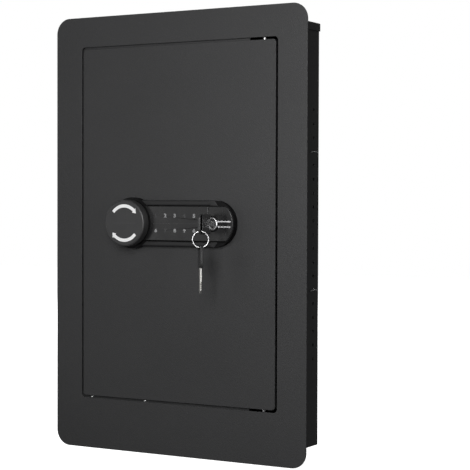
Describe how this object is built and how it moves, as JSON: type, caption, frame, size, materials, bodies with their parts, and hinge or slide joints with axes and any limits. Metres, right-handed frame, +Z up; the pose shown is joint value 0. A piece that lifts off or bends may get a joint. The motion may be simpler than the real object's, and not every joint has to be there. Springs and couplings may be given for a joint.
{
  "type": "wall safe",
  "caption": "Between-stud wall safe with a wide front flange, a flush hinged door, a turning bolt knob, a touch keypad, an emergency key lock and lift-out shelves.",
  "frame": {"origin": "centre of the case's flat back", "axes": "+Z up, +Y into the wall and +X to the right of someone facing the door"},
  "size_m": [0.37, 0.1461, 0.56],
  "materials": {
    "powder": "fine-textured satin powder coat on steel sheet",
    "bare_steel": "bare cold-rolled steel",
    "zinc": "bright zinc plate",
    "lock_plastic": "fine-grained black moulded plastic",
    "keypad_gloss": "smooth dark touch panel",
    "chrome": "polished chrome plate",
    "key_steel": "nickel-plated, bright",
    "key_plastic": "black moulded key head",
    "circuit_board": "green solder mask",
    "battery_sleeve": "printed shrink sleeve",
    "solenoid_case": "dark coated steel frame",
    "reset_red": "red push button"
  },
  "bodies": {
    "case": {"back_panel": "powder", "side_wall_left": "powder", "side_wall_right": "powder", "top_cap": "powder", "bottom_plate": "powder", "front_frame": "powder", "door_jamb": "powder", "hinge_pin_bottom": "bare_steel", "stop_rivet_left": "zinc", "stop_rivet_mid": "zinc", "shelf_clip_upper_left_front": "zinc", "shelf_clip_upper_left_rear": "zinc", "shelf_clip_upper_right_front": "zinc", "shelf_clip_upper_right_rear": "zinc", "shelf_clip_lower_left_front": "zinc", "shelf_clip_lower_left_rear": "zinc", "shelf_clip_lower_right_front": "zinc", "shelf_clip_lower_right_rear": "zinc"},
    "upper_shelf": {"shelf_upper": "powder"},
    "lower_shelf": {"shelf_lower": "powder"},
    "door": {"door_plate": "powder", "inner_cover": "powder", "hinge_lug_top": "powder", "hinge_lug_bottom": "powder", "hinge_pin_top": "bare_steel", "bolt_guide_rail": "bare_steel", "cover_screw_1": "zinc", "cover_screw_2": "zinc", "cover_screw_3": "zinc", "cover_screw_4": "zinc", "lock_housing": "lock_plastic", "keypad_panel": "keypad_gloss", "end_cap": "lock_plastic", "keypad_board": "circuit_board", "lock_cylinder": "chrome", "cylinder_nut": "zinc", "solenoid_body": "solenoid_case", "battery_box": "lock_plastic", "battery_1": "battery_sleeve", "battery_2": "battery_sleeve", "battery_3": "battery_sleeve", "battery_4": "battery_sleeve"},
    "knob": {"knob": "lock_plastic", "knob_spindle": "bare_steel", "knob_cam": "bare_steel"},
    "bolts": {"bolt_bar": "bare_steel", "bolt_top": "zinc", "bolt_middle": "zinc", "bolt_bottom": "zinc"},
    "plug": {"cylinder_plug": "chrome", "key_cam": "bare_steel"},
    "key": {"key_blade": "key_steel", "key_head": "key_plastic"},
    "ring": {"key_ring": "chrome"},
    "spare_key": {"spare_key_blade": "key_steel", "spare_key_head": "key_plastic"},
    "lock_slide": {"lock_slide": "bare_steel", "solenoid_plunger": "bare_steel"},
    "battery_lid": {"battery_lid": "lock_plastic"},
    "reset_button": {"reset_button": "reset_red"}
  },
  "joints": [
    {"name": "door_hinge", "type": "hinge", "parent": "case", "child": "door", "pos_m": [0.122, -0.0855, 0.0132], "axis": [0, 0, 1], "range_deg": [0, 110]},
    {"name": "knob_turn", "type": "hinge", "parent": "door", "child": "knob", "pos_m": [-0.0614, -0.12, 0.014], "axis": [0, 1, 0], "range_deg": [-90, 0]},
    {"name": "bolt_slide", "type": "slide", "parent": "door", "child": "bolts", "axis": [-1, 0, 0], "range_m": [0, 0.01556]},
    {"name": "key_turn", "type": "hinge", "parent": "door", "child": "plug", "pos_m": [0.061, -0.11, 0.014], "axis": [0, 1, 0], "range_deg": [0, 90]},
    {"name": "key_withdraw", "type": "slide", "parent": "plug", "child": "key", "axis": [0, -1, 0], "range_m": [0, 0.03]},
    {"name": "ring_swing", "type": "hinge", "parent": "key", "child": "ring", "pos_m": [0.061, -0.13535, 0.0052], "axis": [1, 0, 0], "range_deg": [-20, 10]},
    {"name": "spare_key_swing", "type": "hinge", "parent": "ring", "child": "spare_key", "pos_m": [0.061, -0.13535, -0.0143], "axis": [0.8829, 0.4695, 0], "range_deg": [-15, 15]},
    {"name": "lock_lift", "type": "slide", "parent": "door", "child": "lock_slide", "axis": [0, 0, 1], "range_m": [0, 0.00501]},
    {"name": "battery_lid_slide", "type": "slide", "parent": "door", "child": "battery_lid", "axis": [0, 0, 1], "range_m": [0, 0.06]},
    {"name": "reset_press", "type": "slide", "parent": "door", "child": "reset_button", "axis": [0, -1, 0], "range_m": [0, 0.0015], "stiffness_N_per_m": 300},
    {"name": "upper_shelf_lift", "type": "slide", "parent": "case", "child": "upper_shelf", "axis": [0, 0, 1], "range_m": [0, 0.02]},
    {"name": "lower_shelf_lift", "type": "slide", "parent": "case", "child": "lower_shelf", "axis": [0, 0, 1], "range_m": [0, 0.02]}
  ],
  "couplings": [
    {"joint": "bolt_slide", "follows": "knob_turn", "m_per_rad": -0.0099034},
    {"joint": "lock_lift", "follows": "key_turn", "m_per_rad": 0.0031871}
  ]
}
